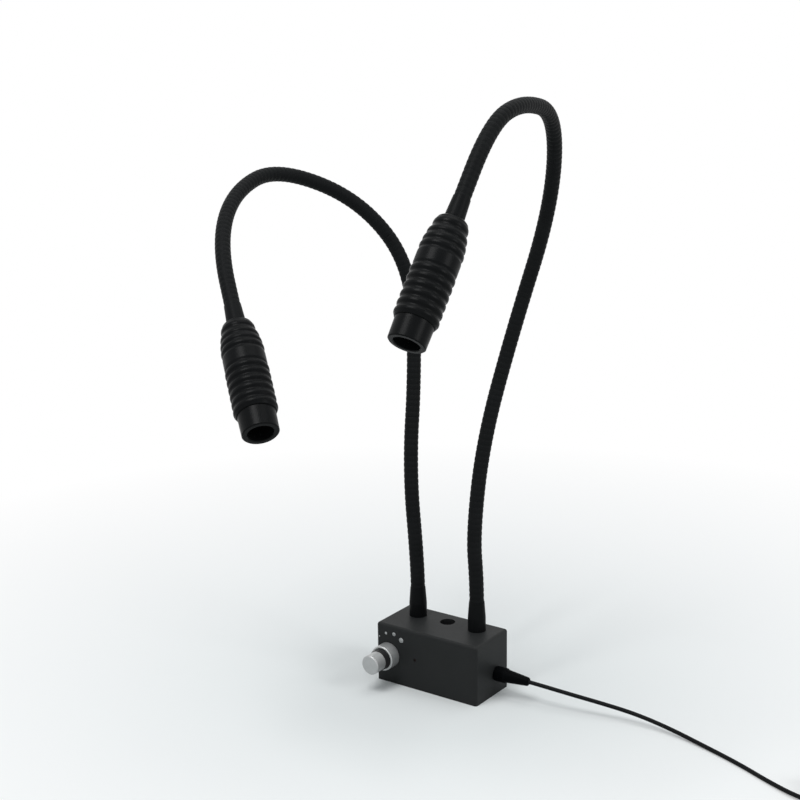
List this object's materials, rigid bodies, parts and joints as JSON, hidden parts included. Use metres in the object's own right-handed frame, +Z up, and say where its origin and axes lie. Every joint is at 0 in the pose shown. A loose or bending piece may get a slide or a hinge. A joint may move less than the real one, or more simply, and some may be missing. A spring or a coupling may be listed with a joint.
{
  "type": "fiber optic illuminator",
  "caption": "Bench spot illuminator: weighted black box with a brightness knob, flexible goosenecks ending in ribbed lamp heads, and a thin supply lead with a plug-in adapter.",
  "frame": {"origin": "centre of the underside of the base box, on the surface it stands on", "axes": "+Z up, +X to the right along the box's front, the knob faces -Y"},
  "size_m": [0.4387, 0.2877, 0.3821],
  "materials": {
    "box_paint": "satin powder coat, near black",
    "plate_paint": "matte black",
    "screw_steel": "zinc plated",
    "ballast_iron": "mill finish",
    "board_green": "solder mask",
    "winding_copper": "enamelled copper",
    "can_aluminium": "satin",
    "connector_white": "moulded",
    "led_red": "clear dark",
    "socket_black": "moulded",
    "nickel": "nickel plated",
    "knob_aluminium": "fine turned, satin",
    "knob_black": "moulded",
    "brass": "turned",
    "cord_black": "smooth satin",
    "tie_black": "moulded",
    "adapter_plastic": "fine spark texture",
    "sleeve_black": "smooth matte",
    "hose_black": "matte, ribbed",
    "grip_rubber": "soft sheen",
    "nose_plastic": "satin moulded",
    "lens_glass": "polished",
    "sink_aluminium": "turned",
    "emitter_yellow": "phosphor under silicone"
  },
  "bodies": {
    "base": {"housing": "box_paint", "base_plate": "plate_paint", "base_screws": "screw_steel", "ballast_block": "ballast_iron", "ballast_screws": "screw_steel", "control_board": "board_green", "board_screws": "screw_steel", "driver_coil": "winding_copper", "board_capacitors": "can_aluminium", "arm_connectors": "connector_white", "status_led": "led_red", "power_socket": "socket_black", "socket_nut": "nickel", "brightness_control": "socket_black", "control_nut": "nickel", "knob_bezel": "knob_aluminium", "arm_ferrules": "brass", "arm_nuts": "screw_steel", "left_base_sleeve": "sleeve_black", "right_base_sleeve": "sleeve_black", "left_hose_base": "hose_black", "right_hose_base": "hose_black", "plug_barrel": "nickel", "plug_boot": "cord_black", "cord_run": "cord_black", "cord_coil": "cord_black", "coil_tie": "tie_black", "adapter_body": "adapter_plastic", "adapter_cover": "adapter_plastic", "adapter_blades": "nickel", "adapter_relief": "cord_black"},
    "knob": {"knob_shaft": "nickel", "knob_skirt": "knob_black", "knob_cap": "knob_aluminium", "knob_set_screw": "screw_steel"},
    "left_lower": {"left_hose_lower": "hose_black"},
    "left_upper": {"left_hose_upper": "hose_black"},
    "left_arch": {"left_hose_arch": "hose_black"},
    "left_head": {"left_hose_neck": "hose_black", "left_neck_sleeve": "sleeve_black", "left_neck_ferrule": "brass", "left_head_grip": "grip_rubber", "left_nose_barrel": "nose_plastic", "left_lens": "lens_glass", "left_heat_sink": "sink_aluminium", "left_led_plate": "sink_aluminium", "left_led_emitter": "emitter_yellow"},
    "right_lower": {"right_hose_lower": "hose_black"},
    "right_upper": {"right_hose_upper": "hose_black"},
    "right_arch": {"right_hose_arch": "hose_black"},
    "right_head": {"right_hose_neck": "hose_black", "right_neck_sleeve": "sleeve_black", "right_neck_ferrule": "brass", "right_head_grip": "grip_rubber", "right_nose_barrel": "nose_plastic", "right_lens": "lens_glass", "right_heat_sink": "sink_aluminium", "right_led_plate": "sink_aluminium", "right_led_emitter": "emitter_yellow"}
  },
  "joints": [
    {"name": "knob_turn", "type": "hinge", "parent": "base", "child": "knob", "pos_m": [-0.0293, -0.0389, 0.0193], "axis": [0, 1, 0], "range_deg": [0, 75]},
    {"name": "left_base_bend", "type": "hinge", "parent": "base", "child": "left_lower", "pos_m": [-0.0305, 0.0127, 0.105], "axis": [0, 1, 0], "range_deg": [-15, 6]},
    {"name": "left_mid_bend", "type": "hinge", "parent": "left_lower", "child": "left_upper", "pos_m": [-0.054, 0.0487, 0.229], "axis": [1, 0, 0], "range_deg": [-20, 15]},
    {"name": "left_arch_bend", "type": "hinge", "parent": "left_upper", "child": "left_arch", "pos_m": [-0.104, 0.0142, 0.319], "axis": [0.8371, 0.0184, 0.5468], "range_deg": [-20, 15]},
    {"name": "left_head_aim", "type": "hinge", "parent": "left_arch", "child": "left_head", "pos_m": [-0.07105, -0.1142, 0.2768], "axis": [-0.608, -0.7939, 0], "range_deg": [-25, 30]},
    {"name": "right_base_bend", "type": "hinge", "parent": "base", "child": "right_lower", "pos_m": [0.0149, 0.0207, 0.1315], "axis": [0, 1, 0], "range_deg": [-6, 15]},
    {"name": "right_mid_bend", "type": "hinge", "parent": "right_lower", "child": "right_upper", "pos_m": [0.0296, 0.06165, 0.2685], "axis": [1, 0, 0], "range_deg": [-20, 15]},
    {"name": "right_arch_bend", "type": "hinge", "parent": "right_upper", "child": "right_arch", "pos_m": [0.06545, 0.00835, 0.3741], "axis": [0.9588, 0.1375, -0.2486], "range_deg": [-20, 15]},
    {"name": "right_head_aim", "type": "hinge", "parent": "right_arch", "child": "right_head", "pos_m": [0.07445, -0.0774, 0.3458], "axis": [-0.9988, -0.0484, 0], "range_deg": [-25, 30]}
  ]
}
